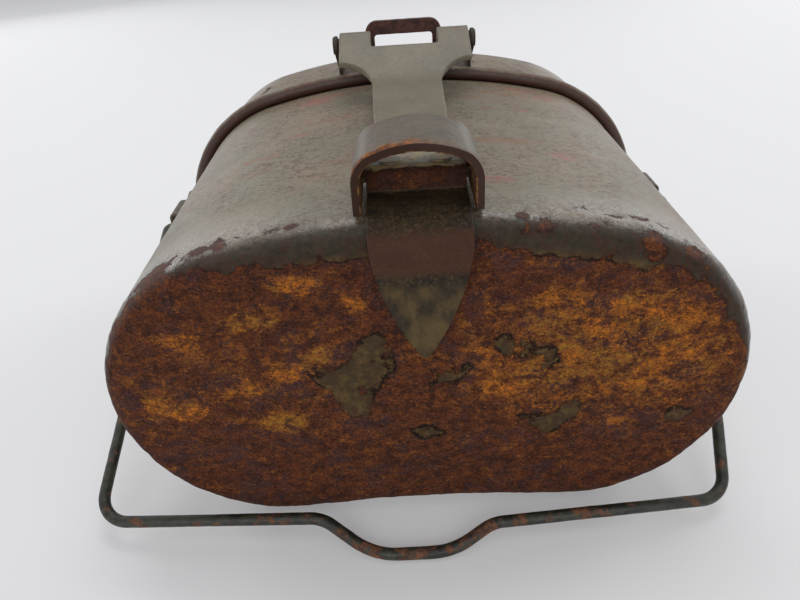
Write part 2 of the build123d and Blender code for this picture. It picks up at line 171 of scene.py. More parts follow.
def points_of(obj):
    """Vertex positions in millimetres."""
    flat = np.zeros(len(obj.data.vertices) * 3)
    obj.data.vertices.foreach_get("co", flat)
    return flat.reshape(-1, 3) / MM


def normals_of(obj):
    """Vertex normals."""
    flat = np.zeros(len(obj.data.vertices) * 3)
    obj.data.vertex_normals.foreach_get("vector", flat)
    return flat.reshape(-1, 3)


def push_out(obj, relief_mm):
    """Moves each vertex along its normal."""
    moved = points_of(obj) + normals_of(obj) * np.asarray(relief_mm)[:, None]
    obj.data.vertices.foreach_set("co", (moved * MM).ravel())
    obj.data.update()


def set_field(obj, name, values):
    """Stores one number per vertex for a material to read."""
    layer = obj.data.attributes.new(name, "FLOAT", "POINT")
    layer.data.foreach_set("value", np.asarray(values, np.float32))


def kidney(count):
    """Points and outward normals at even steps round the outline, from the back's centre."""
    arcs = [
        (0, back_z, back_r, math.pi / 2, math.pi / 2 - back_turn, -1),
        (lobe_x, lobe_z, LOBE_R, -math.pi / 2 - back_turn, front_turn, 1),
        (0, front_z, front_r, front_turn, math.pi - front_turn, 1),
        (-lobe_x, lobe_z, LOBE_R, math.pi - front_turn, math.pi * 1.5 + back_turn, 1),
        (0, back_z, back_r, math.pi / 2 + back_turn, math.pi / 2, -1),
    ]
    lengths = [abs(end - start) * radius for _, _, radius, start, end, _ in arcs]
    steps = np.arange(count) / count * sum(lengths)
    points = np.zeros((count, 2))
    normals = np.zeros((count, 2))
    passed = 0.0
    for (cx, cz, radius, start, end, sign), length in zip(arcs, lengths):
        here = (steps >= passed) & (steps < passed + length)
        turn = start + (end - start) * (steps[here] - passed) / length
        ray = np.stack([np.cos(turn), np.sin(turn)], axis=1)
        points[here] = np.array([cx, cz]) + ray * radius
        normals[here] = ray * sign
        passed += length
    return points, normals


def spun_shell(rings, count):
    """A closed skin through rings of the outline. A ring is (share of the outline, grow, y)."""
    outline, normals = kidney(count)
    rows = []
    for share, grow, y in rings:
        flat = (outline + normals * grow) * share
        rows.append(np.stack([flat[:, 0], np.full(count, y), flat[:, 1]], axis=1))
    points = np.concatenate(rows + [rows[0].mean(axis=0)[None], rows[-1].mean(axis=0)[None]])
    faces = []
    for row in range(len(rings) - 1):
        low = row * count
        high = low + count
        for i in range(count):
            j = (i + 1) % count
            faces.append((low + i, high + i, high + j, low + j))
    last = (len(rings) - 1) * count
    for i in range(count):
        j = (i + 1) % count
        faces.append((j, len(points) - 2, i))
        faces.append((last + i, len(points) - 1, last + j))
    return points, faces


def outside_of(points, outer):
    """1 for the points of the outer rings and the centre they close on, 0 for the rest."""
    outside = np.zeros(len(points))
    outside[: len(outer) * AROUND] = 1
    outside[-2] = 1
    return outside


def steps_between(start, end, size):
    """Even steps from start to end, both included, at most size apart."""
    return np.linspace(start, end, max(2, int(math.ceil(abs(end - start) / size)) + 1))


# --- Pot -------------------------------------------------------------------------------------------
AROUND = 600  # points round each ring
EDGE_TRAVEL = BASE_EDGE_R * math.pi / 2
NO_TRAVEL = -200.0  # stands for travel where a point isn't on the pot's outside
BARE_LIMIT = 20.0  # the field bare runs from minus this to this


def pot_rings():
    """Rings from the base's centre out, up the wall, over the open rim and down inside."""
    flat_grow = -BASE_EDGE_R
    outer = [(share, flat_grow, 0.0) for share in steps_between(0.02, 0.985, 0.018)]
    for turn in np.linspace(0, math.pi / 2, 15):
        outer.append((1, flat_grow + BASE_EDGE_R * math.sin(turn), BASE_EDGE_R * (1 - math.cos(turn))))
    for y in steps_between(BASE_EDGE_R, NECK_START, 0.85)[1:]:
        outer.append((1, 0.0, y))
    for y in steps_between(NECK_START, NECK_END, 0.4)[1:]:
        outer.append((1, -NECK_STEP * (y - NECK_START) / (NECK_END - NECK_START), y))
    for y in steps_between(NECK_END, POT_TOP, 2.0)[1:]:
        outer.append((1, -NECK_STEP, y))
    inner = [(1, -NECK_STEP - SHEET, y) for y in steps_between(POT_TOP, NECK_END, 3.0)]
    inner += [(1, -SHEET, y) for y in steps_between(NECK_START, BASE_EDGE_R, 4.0)]
    inside_r = BASE_EDGE_R - SHEET
    for turn in np.linspace(math.pi / 2, 0, 7)[1:]:
        inner.append((1, flat_grow + inside_r * math.sin(turn), BASE_EDGE_R - inside_r * math.cos(turn)))
    inner += [(share, flat_grow, SHEET) for share in steps_between(0.95, 0.05, 0.09)]
    return outer, inner


# Flakes of old paint left on the base: corners as x and z.
FLAKES = (
    ((-31, 7), (-21, 9), (-16, 17), (-11, 18.5), (-8, 14),
     (-9, 6), (-14, 0), (-16, -8), (-21, -9.5), (-25, -2)),
    ((17, 14), (19.5, 17), (23, 13.5), (27, 12.5), (26, 9.5), (20, 9.5)),
    ((28, 11), (33, 10.5), (34.5, 6), (31.5, 3), (29, 6)),
    ((1, 0.5), (6, 5), (12, 6.5), (11, 3.5), (5, 1)),
    ((25, -12.5), (31, -13), (36, -11.5), (39.5, -6.5), (42, -8.5), (40.5, -14), (34, -19.5), (30.5, -16.5)),
    ((64.5, -17), (67, -13), (73, -14), (70, -17.5)),
    ((-4, -16), (-1, -14.5), (3, -17), (-1, -18.5)),
    ((-5.5, 24), (-2, 25), (-1, 17), (-5, 16)),
)
# Chips through the paint on the rounded front edge: x, travel past the wall and half sizes.
CHIPS = (
    (-66, 0.6, 7, 2.6),
    (-52, 0.8, 5, 1.4),
    (-31, 0.0, 3, 0.8),
    (29, 5.0, 2.0, 1.8),
    (55, 5.5, 2.2, 3.4),
    (52, -2.5, 3, 0.8),
    (66, 4.0, 3.5, 1.4),
)
# Traces of pink primer on the front of the wall: x, y and half sizes.
PRIMER = (
    (-34, 109, 4, 1.6),
    (-30, 113, 5, 1.4),
    (-36, 74, 2.5, 1.4),
    (43, 114, 6, 1.4),
    (51, 108, 4, 1.8),
    (38, 87, 2.5, 1.2),
    (43, 45, 3.5, 1.8),
    (20.5, 25, 3.5, 1.2),
)
# Rusty streaks there.
STREAKS = (
    (22, 99, 8, 1.0),
    (26, 55, 8, 1.4),
    (33, 106, 5, 1.2),
    (-48, 60, 4, 1.0),
    (-26, 84, 4, 0.9),
)
# Where the rust is brightest orange: centre x and z and half sizes.
ORANGE = (
    (30, 26, 5, 3),
    (52, 24, 9, 3),
    (63, 18, 9, 6),
    (50, 16, 10, 4),
    (68, 9, 7, 4),
    (50, 7, 12, 4),
    (38, 10, 8, 3),
    (27, 4, 6, 3),
    (39, 1, 9, 3),
    (58, -3, 9, 3),
    (52, -15, 4, 2.5),
    (19, -2, 5, 3),
    (13, 12, 4, 2.5),
    (-31, 34, 6, 2.2),
    (-28, 13, 4, 2.5),
    (-17, 28, 3, 2),
    (-62, 19, 5, 3),
    (-43, 24, 7, 3),
    (-73, -2, 4, 4),
    (-65, -4, 6, 3),
    (-40, -10, 6, 4),
    (-47, 2, 8, 2.5),
    (-35, 7, 6, 3),
)
# Wider patches where it is a little warmer, the right one more than the left.
WARM = (((45, 8, 38, 19), 0.75), ((-48, 6, 34, 20), 0.3))


def ellipse_distance(x, z, spot):
    """Rough distance in millimetres outside an ellipse, negative inside."""
    centre_x, centre_z, half_x, half_z = spot
    reach = np.hypot((x - centre_x) / half_x, (z - centre_z) / half_z)
    return (reach - 1) * min(half_x, half_z)


def polygon_distance(x, z, corners):
    """Distance in millimetres outside a polygon, negative inside."""
    nearest = np.full(len(x), np.inf)
    inside = np.zeros(len(x), bool)
    for (ax, az), (bx, bz) in zip(corners, corners[1:] + corners[:1]):
        side_x, side_z = bx - ax, bz - az
        share = np.clip(((x - ax) * side_x + (z - az) * side_z) / (side_x**2 + side_z**2), 0, 1)
        nearest = np.minimum(nearest, np.hypot(x - ax - share * side_x, z - az - share * side_z))
        crossed = (az > z) != (bz > z)
        inside ^= crossed & (x < ax + side_x * (z - az) / (side_z or 1e-9))
    return np.where(inside, -nearest, nearest)


def pot_travel(outer, count):
    """How far each point lies past the wall, measured over the rounded edge towards the base's middle."""
    outline, normals = kidney(AROUND)
    reach = np.linalg.norm(outline - normals * BASE_EDGE_R, axis=1)
    travel = np.full(count, NO_TRAVEL)
    for row, (share, _, ring_y) in enumerate(outer):
        here = slice(row * AROUND, (row + 1) * AROUND)
        if ring_y == 0.0:
            travel[here] = EDGE_TRAVEL + (1 - share) * reach
        elif ring_y < BASE_EDGE_R:
            travel[here] = EDGE_TRAVEL - BASE_EDGE_R * math.acos(1 - ring_y / BASE_EDGE_R)
        else:
            travel[here] = BASE_EDGE_R - ring_y
    travel[-2] = EDGE_TRAVEL + reach.mean()
    return travel


def pot_bareness(points, travel, ragged):
    """Millimetres past the border of the bare metal, negative under paint.

    The border runs furthest in on the front's right, and close to the outline at the left end and all along
    the back.
    """
    x, _, z = points.T
    front = smooth(5, 25, z)
    worn_through = np.maximum(smooth(-46, -64, x), 1 - smooth(-8, 16, z))
    border = 8.5 - 5.5 * worn_through
    border += 2.5 * smooth(-42, -30, x) * (1 - smooth(-8, 6, x)) * front
    border += 5.0 * smooth(14, 30, x) * front * (1 - smooth(50, 64, x)) + 2.2 * ragged
    border += 2.2 * fractal(points, 3, 3, 21)
    bare = travel - border
    # A few chips through the paint near the rounded edge.
    chips = fractal(points * [1, 1.6, 1], 4, 3, 31) - 0.56 - np.maximum(0, -travel - 2) / 14
    bare = np.maximum(bare, chips * 5)
    chip_edge = 1.8 * fractal(points, 3, 4, 36)
    for spot in CHIPS:
        chip = np.minimum(chip_edge - ellipse_distance(x, travel, spot), 3)
        bare = np.where(z > 0, np.maximum(bare, chip), bare)
    # Flakes of paint on the base, ragged and eaten through in places.
    flake_edge = 1.5 * fractal(points, 4, 4, 41)
    holes = 5 * (fractal(points, 3.4, 3, 44) - 0.42)
    for corners in FLAKES:
        flake = np.maximum(polygon_distance(x, z, corners) + flake_edge, holes)
        bare = np.where(travel > EDGE_TRAVEL, np.minimum(bare, flake), bare)
    return np.clip(bare, -BARE_LIMIT, BARE_LIMIT)


def base_orange(points, ragged):
    """How orange the rust is, 0 to 1."""
    x, _, z = points.T
    orange = np.zeros(len(points))
    for spot, share in [(spot, 1.0) for spot in ORANGE] + list(WARM):
        away = ellipse_distance(x, z, spot) / spot[3] + 0.4 * ragged
        orange = np.maximum(orange, share * (1 - smooth(-0.5, 0.7, away)))
    return orange


def wall_marks(points, spots):
    """1 inside ragged spots on the front of the wall, 0 elsewhere."""
    x, y, z = points.T
    edge = 1.6 * fractal(points, 3, 4, 46)
    marks = np.zeros(len(points))
    for spot in spots:
        inside = 1 - smooth(-0.4, 1.6, ellipse_distance(x, y, spot) + edge)
        marks = np.maximum(marks, np.where(z > 0, inside, 0))
    return marks


def pot_relief(points, travel, bare, ragged):
    """Dents, wear and the height of the rust on the pot's outside, in millimetres. None where parts sit."""
    x, y, z = points.T
    from_ear = np.sqrt((np.abs(x) - WIDTH / 2) ** 2 + (y - PIVOT_Y) ** 2 + (z - PIVOT_Z) ** 2)
    free = (1 - smooth(NECK_START - 9, NECK_START - 2, y)) * smooth(16, 26, from_ear)
    on_base = smooth(EDGE_TRAVEL - 3, EDGE_TRAVEL + 3, travel)
    near_edge = smooth(-14, 0, travel) * (1 - smooth(EDGE_TRAVEL, EDGE_TRAVEL + 14, travel))
    rusted = smooth(-0.3, 0.5, bare)
    grain = fractal(points * [0.7, 1, 1], 3.0, 3, 51)
    relief = 0.35 * fractal(points, 70, 2, 61) + 0.07 * fractal(points, 6, 3, 62)
    relief += near_edge * (0.28 * fractal(points, 13, 2, 71) + 0.16 * fractal(points, 2.4, 3, 76))
    relief += on_base * 0.45 * fractal(points, 34, 2, 81)
    relief += rusted * (0.20 * grain - 0.12)
    # Paint lifts along the edge of each flake.
    relief += on_base * 0.40 * np.exp(-(((bare + 0.6) / 0.8) ** 2)) * smooth(-0.3, 0.5, ragged)
    return free * relief


def build_pot():
    outer, inner = pot_rings()
    points, faces = spun_shell(outer + inner, AROUND)
    pot = make_object("pot_body", points, faces, "pot")
    outside = outside_of(points, outer)
    ragged = fractal(points, 9, 4, 11)
    travel = pot_travel(outer, len(points))
    bare = np.where(outside > 0, pot_bareness(points, travel, ragged), -BARE_LIMIT)
    set_field(pot, "primer", wall_marks(points, PRIMER))
    set_field(pot, "streaks", wall_marks(points, STREAKS))
    set_field(pot, "bare", bare)
    set_field(pot, "travel", travel)
    set_field(pot, "orange", base_orange(points, ragged))
    set_field(pot, "inside", 1 - outside)
    push_out(pot, outside * pot_relief(points, travel, bare, ragged))
    return pot


# --- Lid -------------------------------------------------------------------------------------------


def lid_rings():
    """Rings from the closed end's centre out, down the wall, round the rolled rim and up inside."""
    flat_grow = LID_GROW - LID_EDGE_R
    outer = [(share, flat_grow, LID_TOP) for share in steps_between(0.02, 0.985, 0.03)]
    for turn in np.linspace(0, math.pi / 2, 13):
        y = LID_TOP - LID_EDGE_R * (1 - math.cos(turn))
        outer.append((1, flat_grow + LID_EDGE_R * math.sin(turn), y))
    join = math.acos((LID_GROW - RIM_GROW) / RIM_R)
    for y in steps_between(LID_TOP - LID_EDGE_R, RIM_Y + RIM_R * math.sin(join), 1.3)[1:-1]:
        outer.append((1, LID_GROW, y))
    for turn in np.linspace(join, -math.pi, 22):
        outer.append((1, RIM_GROW + RIM_R * math.cos(turn), RIM_Y + RIM_R * math.sin(turn)))
    inner = [(1, LID_GROW - SHEET, y) for y in steps_between(RIM_Y, LID_TOP - LID_EDGE_R, 4.0)[1:]]
    inside_r = LID_EDGE_R - SHEET
    for turn in np.linspace(math.pi / 2, 0, 6)[1:]:
        y = LID_TOP - LID_EDGE_R + inside_r * math.cos(turn)
        inner.append((1, flat_grow + inside_r * math.sin(turn), y))
    inner += [(share, flat_grow, LID_TOP - SHEET) for share in steps_between(0.95, 0.05, 0.09)]
    return outer, inner


def build_lid():
    outer, inner = lid_rings()
    points, faces = spun_shell(outer + inner, AROUND)
    lid = make_object("lid_body", points, [face[::-1] for face in faces], "lid")
    x, y, z = points.T
    outside = outside_of(points, outer)
    on_rim = outside * (1 - smooth(RIM_Y + 1.5, RIM_Y + 3.5, y))
    ragged = fractal(points, 9, 4, 111)
    chips = fractal(points, 6, 3, 131) - 0.62 + 0.35 * smooth(LID_TOP - 9, LID_TOP - 2, y)
    set_field(lid, "bare", np.where((outside > 0) & (on_rim < 0.5), chips * 6, -BARE_LIMIT))
    set_field(lid, "rim", on_rim)
    # The rim's underside is where its round section faces the base. Its dark red there is rust and also
    # painted shade.
    turns = [math.atan2(ring_y - RIM_Y, grow - RIM_GROW) for _, grow, ring_y in outer]
    turn = np.zeros(len(points))
    turn[: len(outer) * AROUND] = np.repeat(turns, AROUND)
    set_field(lid, "under", on_rim * smooth(-0.35, -1.15, turn + 0.4 * ragged))
    set_field(lid, "travel", y - LID_TOP)
    set_field(lid, "orange", 0.25 * smooth(0.1, 0.6, ragged))
    set_field(lid, "inside", 1 - outside)
    from_bracket = np.sqrt(x**2 + (z - DEPTH / 2) ** 2)
    free = outside * smooth(26, 34, from_bracket) * smooth(RIM_Y + 2, RIM_Y + 7, y)
    relief = free * 0.3 * fractal(points, 50, 2, 161)
    relief += free * smooth(LID_TOP - 3, LID_TOP, y) * 0.5 * fractal(points, 30, 2, 171)
    relief += on_rim * 0.10 * fractal(points, 4, 2, 181)
    push_out(lid, relief)
    return lid


pot_body = build_pot()
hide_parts("pot_shell")
lid_body = build_lid()
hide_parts("lid_shell")


# --- Worn copies of the CAD's pressed and bent parts --------------------------------------------------


WELD_WITHIN = 0.001


def worn_copy(node, name, body, voxel_mm, wear_mm, wave_mm, seed):
    """A dense copy of a CAD node with softened edges and a worn surface, which stands in for it."""
    piece = bpy.data.objects.new(name, frame["nodes"][node].data.copy())
    bpy.context.scene.collection.objects.link(piece)
    piece.data.materials.clear()
    piece.modifiers.new("weld", "WELD").merge_threshold = WELD_WITHIN * MM
    remesh = piece.modifiers.new("remesh", "REMESH")
    remesh.mode = "VOXEL"
    remesh.voxel_size = voxel_mm * MM
    ease = piece.modifiers.new("ease", "SMOOTH")
    ease.iterations = 3
    graph = bpy.context.evaluated_depsgraph_get()
    mesh = bpy.data.meshes.new_from_object(piece.evaluated_get(graph))
    piece.modifiers.clear()
    piece.data = mesh
    mesh.name = name
    mesh.polygons.foreach_set("use_smooth", np.ones(len(mesh.polygons), bool))
    points = points_of(piece)
    relief = wear_mm * fractal(points, 2.4, 2, seed) + wave_mm * fractal(points, 22, 2, seed + 5)
    push_out(piece, relief)
    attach(piece, body)
    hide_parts(node)
    return piece


WORN = {
    # node: piece, body, voxel, wear, wave
    "handle_strip": ("handle_worn", "handle", 0.36, 0.035, 0.10),
    "strap_keeper": ("keeper_worn", "handle", 0.32, 0.06, 0.12),
    "strap_keeper_rivets": ("keeper_rivet_heads", "handle", 0.25, 0.04, 0.0),
    "bail_ear_left": ("ear_left_worn", "pot", 0.34, 0.03, 0.03),
    "bail_ear_right": ("ear_right_worn", "pot", 0.34, 0.03, 0.03),
    "bail_ear_rivets_left": ("ear_rivet_heads_left", "pot", 0.25, 0.04, 0.0),
    "bail_ear_rivets_right": ("ear_rivet_heads_right", "pot", 0.25, 0.04, 0.0),
    "lid_hinge_bracket": ("bracket_worn", "lid", 0.34, 0.05, 0.06),
    "lid_hinge_rivets": ("bracket_rivet_heads", "lid", 0.25, 0.04, 0.0),
    "bail_wire": ("bail_worn", "bail", 0.36, 0.05, 0.12),
}
worn = {}
for seed, (node, (name, body, voxel, wear, wave)) in enumerate(WORN.items()):
    worn[node] = worn_copy(node, name, body, voxel, wear, wave, 300 + 10 * seed)


# --- Materials ---------------------------------------------------------------------------------------


def tone(red, green, blue):
    """An sRGB colour, 0 to 255, as Blender's linear colour."""
    linear = []
    for part in (red / 255, green / 255, blue / 255):
        linear.append(part / 12.92 if part <= 0.04045 else ((part + 0.055) / 1.055) ** 2.4)
    return (*linear, 1.0)


# Rust.
RUST_DARK = tone(56, 31, 23)
RUST_BROWN = tone(99, 54, 31)
RUST_PURPLE = tone(62, 44, 46)
RUST_SHADOW = tone(50, 34, 32)
RUST_OCHRE = tone(138, 83, 35)
RUST_ORANGE = tone(203, 117, 30)
RUST_YELLOW = tone(160, 116, 44)
RUST_PIT = tone(32, 19, 16)
RUST_GRIT = tone(152, 92, 52)
# The pot and the lid.
PAINT_GREEN = tone(113, 108, 88)
PAINT_BROWN = tone(126, 113, 92)
PAINT_DIRT = tone(60, 53, 44)
PAINT_CHALK = tone(138, 128, 113)
SCUFF = tone(140, 128, 116)
SPECK = tone(78, 50, 38)
STAIN = tone(112, 72, 50)
PRIMER_PINK = tone(156, 76, 74)
STREAK_ORANGE = tone(128, 76, 40)
# Painted shade along the pot's rounded front edge.
EDGE_SHADE_BLACK = tone(30, 29, 20)
EDGE_SHADE_BROWN = tone(50, 39, 30)
FLAKE_BROWN = tone(62, 51, 34)
FLAKE_OLIVE = tone(90, 72, 41)
RUST_UNDER_PAINT = tone(66, 38, 26)
CRACK = tone(22, 18, 15)
RIM_OLIVE = tone(100, 90, 71)
RIM_BROWN = tone(92, 60, 44)
# Dark red of the rim's underside: rust with painted shade.
RIM_RED_RUST_AND_SHADE = tone(62, 35, 27)
STEEL_GREY = tone(92, 84, 76)
STEEL_BROWN = tone(70, 52, 42)
# The handle.
NECK_GREEN = tone(101, 94, 77)
NECK_BROWN = tone(111, 101, 83)
NECK_DIRT = tone(58, 52, 44)
NECK_CHALK = tone(130, 120, 106)
NECK_RED = tone(120, 66, 58)
WORN_GREY = tone(128, 127, 108)
WORN_SAND = tone(160, 138, 98)
WORN_RUST = tone(104, 62, 36)
# A painted highlight on the top bend of the handle's step.
CREAM_HIGHLIGHT = tone(188, 158, 108)
STEP_BROWN = tone(44, 26, 19)
STEP_FOOT_SAND = tone(150, 128, 100)
TONGUE_BLACK = tone(33, 26, 18)
TONGUE_BROWN = tone(56, 44, 27)
TONGUE_PIT = tone(22, 17, 13)
TONGUE_CHALK = tone(110, 88, 58)
TONGUE_BAND = tone(74, 42, 27)
LEAF_BROWN = tone(44, 36, 26)
LEAF_OLIVE = tone(96, 78, 46)
# Pale edges of the handle: rubbed metal and a painted highlight.
RUBBED_METAL_AND_HIGHLIGHT = tone(176, 160, 138)
# The strap keeper.
KEEPER_GREEN = tone(80, 74, 60)
KEEPER_BROWN = tone(92, 83, 67)
KEEPER_DIRT = tone(52, 44, 38)
KEEPER_CHALK = tone(124, 112, 98)
KEEPER_STAIN = tone(96, 60, 44)
KEEPER_RUST = tone(92, 56, 38)
KEEPER_ORANGE = tone(176, 104, 42)
KEEPER_BACK_RUST = tone(124, 76, 52)
KEEPER_FACE = tone(56, 37, 29)
KEEPER_INSIDE_DARK = tone(56, 37, 28)
KEEPER_INSIDE_OCHRE = tone(134, 94, 58)
# Ears, rivets, hinge and bail.
EAR_DARK = tone(70, 68, 58)
EAR_WARM = tone(96, 80, 66)
RIVET_DARK = tone(58, 46, 38)
RIVET_WARM = tone(104, 74, 54)
HINGE_DARK = tone(52, 34, 31)
HINGE_WARM = tone(88, 54, 46)
# Dark brown paint on the hinge's outer sides and pins, darkened further as painted shade.
HINGE_SIDES_PAINT_AND_SHADE = tone(62, 52, 42)
METAL_OCHRE = tone(150, 88, 44)
WIRE_BLACK = tone(27, 28, 23)
WIRE_GREEN = tone(50, 51, 40)
WIRE_RUST_DARK = tone(62, 40, 30)
WIRE_RUST = tone(118, 74, 46)


class Shader:
    """Builds one material's node graph. Textures are placed in the frame's own millimetres."""

    def __init__(self, name):
        self.material = bpy.data.materials.new(name)
        self.material.use_nodes = True
        self.tree = self.material.node_tree
        self.tree.nodes.clear()
        self.surface = self.node("ShaderNodeBsdfPrincipled")
        output = self.node("ShaderNodeOutputMaterial")
        self.tree.links.new(self.surface.outputs[0], output.inputs[0])
        self.place = self.node("ShaderNodeTexCoord").outputs["Object"]
        self.axes = self.node("ShaderNodeSeparateXYZ", self.place).outputs

    def node(self, kind, *values, **settings):
        made = self.tree.nodes.new(kind)
        for key, value in settings.items():
            setattr(made, key, value)
        for socket, value in zip(made.inputs, values):
            self.plug(socket, value)
        return made

    def plug(self, socket, value):
        if isinstance(value, bpy.types.NodeSocket):
            self.tree.links.new(value, socket)
        else:
            socket.default_value = value

    def math(self, operation, *values):
        return self.node("ShaderNodeMath", *values, operation=operation).outputs[0]

    def mm(self, axis):
        """The position along one axis, in millimetres."""
        return self.math("MULTIPLY", self.axes["XYZ".index(axis)], 1 / MM)

    def field(self, name):
        return self.node("ShaderNodeAttribute", attribute_name=name).outputs["Fac"]

    def noise(self, size_mm, detail=4.0, rough=0.55, stretch=(1, 1, 1), shift=0.0, warp=0.0):
        """Noise from about 0.25 to 0.75, its features size_mm across and drawn out by stretch."""
        made = self.node("ShaderNodeMapping", self.place)
        made.inputs["Location"].default_value = (shift, shift * 0.7, shift * 1.3)
        made.inputs["Scale"].default_value = [1 / (size_mm * MM * s) for s in stretch]
        texture = self.node("ShaderNodeTexNoise", made.outputs[0])
        texture.inputs["Scale"].default_value = 1.0
        texture.inputs["Detail"].default_value = detail
        texture.inputs["Roughness"].default_value = rough
        texture.inputs["Distortion"].default_value = warp
        return texture.outputs["Fac"]

    def fade(self, value, low, high):
        """0 at low and 1 at high, eased between; high may be below low."""
        made = self.node("ShaderNodeMapRange", interpolation_type="SMOOTHSTEP")
        self.plug(made.inputs["Value"], value)
        made.inputs["From Min"].default_value = low
        made.inputs["From Max"].default_value = high
        return made.outputs["Result"]

    def near(self, value, centre, half, soft):
        """1 within half of centre, falling to 0 over soft."""
        away = self.math("ABSOLUTE", self.math("SUBTRACT", value, centre))
        return self.fade(away, half + soft, half)

    def times(self, *values):
        total = values[0]
        for value in values[1:]:
            total = self.math("MULTIPLY", total, value)
        return total

    def mix(self, share, first, second):
        made = self.node("ShaderNodeMix", data_type="RGBA")
        self.plug(made.inputs[0], share)
        self.plug(made.inputs[6], first)
        self.plug(made.inputs[7], second)
        return made.outputs[2]

    def blend(self, share, first, second):
        """The same for plain numbers."""
        made = self.node("ShaderNodeMix", data_type="FLOAT")
        self.plug(made.inputs[0], share)
        self.plug(made.inputs[2], first)
        self.plug(made.inputs[3], second)
        return made.outputs[0]

    def finish(self, colour, roughness, height, depth_mm, spec=0.5):
        """Wires the surface up. height is 0 to 1 and stands for depth_mm of real relief."""
        bump = self.node("ShaderNodeBump")
        bump.inputs["Strength"].default_value = 1.0
        bump.inputs["Distance"].default_value = depth_mm * MM
        self.plug(bump.inputs["Height"], height)
        self.plug(self.surface.inputs["Base Color"], colour)
        self.plug(self.surface.inputs["Roughness"], roughness)
        self.plug(self.surface.inputs["Specular IOR Level"], spec)
        self.plug(self.surface.inputs["Normal"], bump.outputs[0])
        return self.material


def rust_colour(s, orange):
    """Rust in layers: red-brown, purple-brown and, where orange is high, speckled ochre and orange."""
    drawn = (1.3, 1, 1)
    colour = s.mix(s.fade(s.noise(3.2, 8, 0.85, drawn, 1.1), 0.41, 0.59), RUST_DARK, RUST_BROWN)
    purple = s.fade(s.noise(6, 8, 0.8, drawn, 2.2, 0.3), 0.49, 0.58)
    colour = s.mix(s.times(purple, 0.7), colour, RUST_PURPLE)
    spread = s.math("MULTIPLY", orange, 0.10)
    patches = s.fade(s.math("ADD", s.noise(4.2, 9, 0.9, drawn, 4.4, 0.2), spread), 0.54, 0.615)
    colour = s.mix(s.times(patches, 0.8), colour, RUST_OCHRE)
    bright = s.fade(s.math("ADD", s.noise(1.7, 7, 0.9, drawn, 5.5), spread), 0.565, 0.66)
    ochre = s.mix(s.fade(s.noise(9, 4, 0.7, drawn, 7.7), 0.44, 0.56), RUST_ORANGE, RUST_YELLOW)
    colour = s.mix(s.times(bright, patches, 0.85), colour, ochre)
    dark = s.fade(s.noise(2.3, 6, 0.8, drawn, 8.9, 0.4), 0.455, 0.40)
    colour = s.mix(s.times(dark, 0.5), colour, RUST_SHADOW)
    grain = s.noise(0.6, 5, 0.8, drawn, 6.6)
    colour = s.mix(s.times(s.fade(grain, 0.49, 0.38), 0.70), colour, RUST_PIT)
    return s.mix(s.times(s.fade(grain, 0.54, 0.65), 0.42), colour, RUST_GRIT)


def wall_paint(s, fleck):
    """Grey-green paint, uneven, with fine brown specks, scuffs, stains and traces of pink primer."""
    paint = s.mix(s.fade(s.noise(24, 3, 0.5, shift=7.1), 0.35, 0.65), PAINT_GREEN, PAINT_BROWN)
    paint = s.mix(s.times(s.fade(fleck, 0.50, 0.38), 0.5), paint, PAINT_DIRT)
    paint = s.mix(s.times(s.fade(fleck, 0.52, 0.64), 0.42), paint, PAINT_CHALK)
    scuffs = s.fade(s.noise(1.0, 5, 0.7, (5, 1, 5), 8.2), 0.50, 0.62)
    paint = s.mix(s.times(scuffs, 0.12), paint, SCUFF)
    speckled = s.fade(s.noise(15, 5, 0.7, shift=10.4), 0.42, 0.56)
    specks = s.fade(s.noise(1.3, 5, 0.8, (1.6, 1, 1.6), 9.3), 0.51, 0.57)
    paint = s.mix(s.times(specks, speckled, 0.8), paint, SPECK)
    stain = s.fade(s.noise(7, 7, 0.8, (3.0, 0.8, 1), 11.5), 0.54, 0.66)
    paint = s.mix(s.times(stain, 0.5), paint, STAIN)
    high = s.fade(s.mm("Y"), 15, 50)
    faint = s.times(s.fade(s.noise(5, 7, 0.8, (1.8, 1, 1), 12.6), 0.55, 0.65), high, 0.5)
    broken = s.fade(s.noise(1.2, 5, 0.8, shift=21.4), 0.40, 0.56)
    primer = s.math("MAXIMUM", faint, s.times(s.field("primer"), broken))
    paint = s.mix(s.times(primer, 0.62), paint, PRIMER_PINK)
    return s.mix(s.times(s.field("streaks"), broken, 0.7), paint, STREAK_ORANGE)


def rim_colour(s):
    """The lid's rolled rim: olive where it faces out, dark red where it faces the pot's base, which is rust
    and also painted shade on the side turned from the light.
    """
    rim = s.mix(s.fade(s.noise(4, 5, 0.7, shift=19.1), 0.42, 0.60), RIM_OLIVE, RIM_BROWN)
    return s.mix(s.times(s.field("under"), 0.9), rim, RIM_RED_RUST_AND_SHADE)


# Stations past the wall, along travel.
GLOSS_FROM, GLOSS_FULL = -22.0, 0.0
GLOSS_FADES, GLOSS_ENDS = 3.5, 6.5
# Where the painted shade on the rounded edge starts, is full, fades and ends.
EDGE_SHADE_FROM, EDGE_SHADE_FULL = 0.0, 4.5
EDGE_SHADE_FADES, EDGE_SHADE_ENDS = 40.0, 60.0


